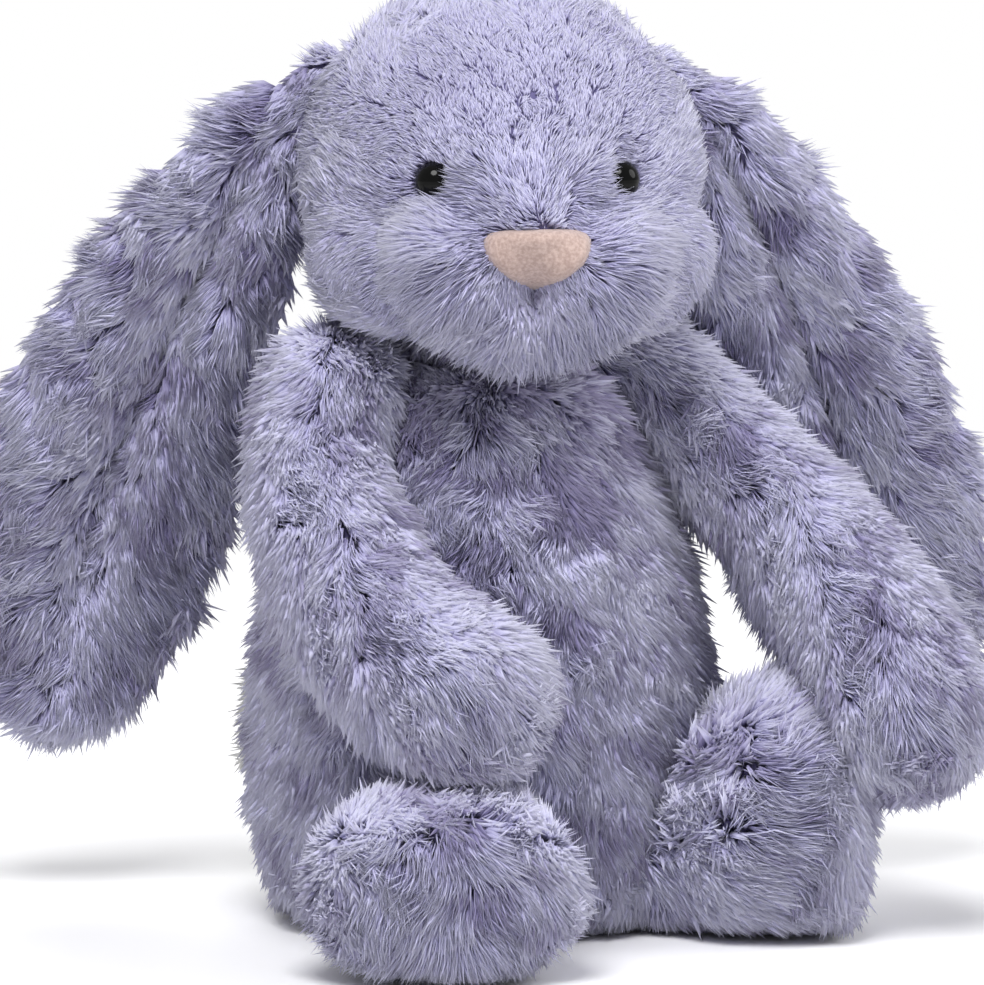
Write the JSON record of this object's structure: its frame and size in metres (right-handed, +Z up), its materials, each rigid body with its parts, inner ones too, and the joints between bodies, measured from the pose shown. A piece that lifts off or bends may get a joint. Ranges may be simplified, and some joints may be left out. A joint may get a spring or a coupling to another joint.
{
  "type": "stuffed bunny rabbit",
  "caption": "Sitting plush bunny with long lop ears, sewn from fur covers over stuffing, with bead eyes, a suede nose and a round tail.",
  "frame": {"origin": "centre of the flat seat under the torso", "axes": "+Z up, the torso faces -Y, the bunny's own right side is at -X"},
  "size_m": [0.2128, 0.1723, 0.2025],
  "materials": {
    "pile_lavender": "long soft plush pile",
    "pile_cream": "long soft plush pile",
    "suede_pink": "short suede-like cloth",
    "bead_black": "polished",
    "washer_white": "plain moulded",
    "stuffing_white": "loose polyester fibre",
    "pouch_cloth": "plain woven cloth",
    "pellet_plastic": "small smooth beads",
    "thread_lavender": "sewing thread"
  },
  "bodies": {
    "torso": {"torso_cover": "pile_lavender", "torso_stuffing": "stuffing_white", "back_closing_seam": "thread_lavender", "neck_seam_thread": "thread_lavender", "seat_pouch": "pouch_cloth", "seat_pellets": "pellet_plastic", "tail_cover": "pile_cream", "tail_stuffing": "stuffing_white", "tail_seam_thread": "thread_lavender"},
    "neck": {"neck_stuffing": "stuffing_white"},
    "head": {"head_cover": "pile_lavender", "head_stuffing": "stuffing_white", "nose_patch": "suede_pink", "eye_left": "bead_black", "eye_right": "bead_black", "eye_washer_left": "washer_white", "eye_washer_right": "washer_white"},
    "ear_left": {"ear_left_front_layer": "pile_lavender", "ear_left_back_layer": "pile_lavender", "ear_left_root_thread": "thread_lavender"},
    "ear_right": {"ear_right_front_layer": "pile_lavender", "ear_right_back_layer": "pile_lavender", "ear_right_root_thread": "thread_lavender"},
    "arm_left": {"arm_left_cover": "pile_lavender", "arm_left_stuffing": "stuffing_white", "arm_left_seam_thread": "thread_lavender"},
    "arm_right": {"arm_right_cover": "pile_lavender", "arm_right_stuffing": "stuffing_white", "arm_right_seam_thread": "thread_lavender"},
    "leg_left": {"leg_left_cover": "pile_lavender", "leg_left_sole": "pile_lavender", "leg_left_stuffing": "stuffing_white", "leg_left_pellet_pouch": "pouch_cloth", "leg_left_seam_thread": "thread_lavender"},
    "leg_right": {"leg_right_cover": "pile_lavender", "leg_right_sole": "pile_lavender", "leg_right_stuffing": "stuffing_white", "leg_right_pellet_pouch": "pouch_cloth", "leg_right_seam_thread": "thread_lavender"}
  },
  "joints": [
    {"name": "head_turn", "type": "hinge", "parent": "torso", "child": "neck", "pos_m": [0, 0.002, 0.119], "axis": [0, 0, 1], "range_deg": [-3, 25]},
    {"name": "head_nod", "type": "hinge", "parent": "neck", "child": "head", "pos_m": [0, 0.002, 0.131], "axis": [0.9205, -0.3907, 0], "range_deg": [-15, 0]},
    {"name": "ear_left_lift", "type": "hinge", "parent": "head", "child": "ear_left", "pos_m": [0.04582, -0.01419, 0.179], "axis": [-0.3907, -0.9205, 0], "range_deg": [0, 110]},
    {"name": "ear_right_lift", "type": "hinge", "parent": "head", "child": "ear_right", "pos_m": [-0.03611, 0.02059, 0.179], "axis": [0.3907, 0.9205, 0], "range_deg": [0, 110]},
    {"name": "arm_left_lift", "type": "hinge", "parent": "torso", "child": "arm_left", "pos_m": [0.0385, -0.003, 0.117], "axis": [-1, 0, 0], "range_deg": [0, 60]},
    {"name": "arm_right_lift", "type": "hinge", "parent": "torso", "child": "arm_right", "pos_m": [-0.0385, -0.003, 0.117], "axis": [-1, 0, 0], "range_deg": [0, 60]},
    {"name": "leg_left_splay", "type": "hinge", "parent": "torso", "child": "leg_left", "pos_m": [0.033, -0.039, 0.0163], "axis": [0, 0, 1], "range_deg": [-8, 30]},
    {"name": "leg_right_splay", "type": "hinge", "parent": "torso", "child": "leg_right", "pos_m": [-0.033, -0.039, 0.0163], "axis": [0, 0, -1], "range_deg": [-8, 30]}
  ]
}
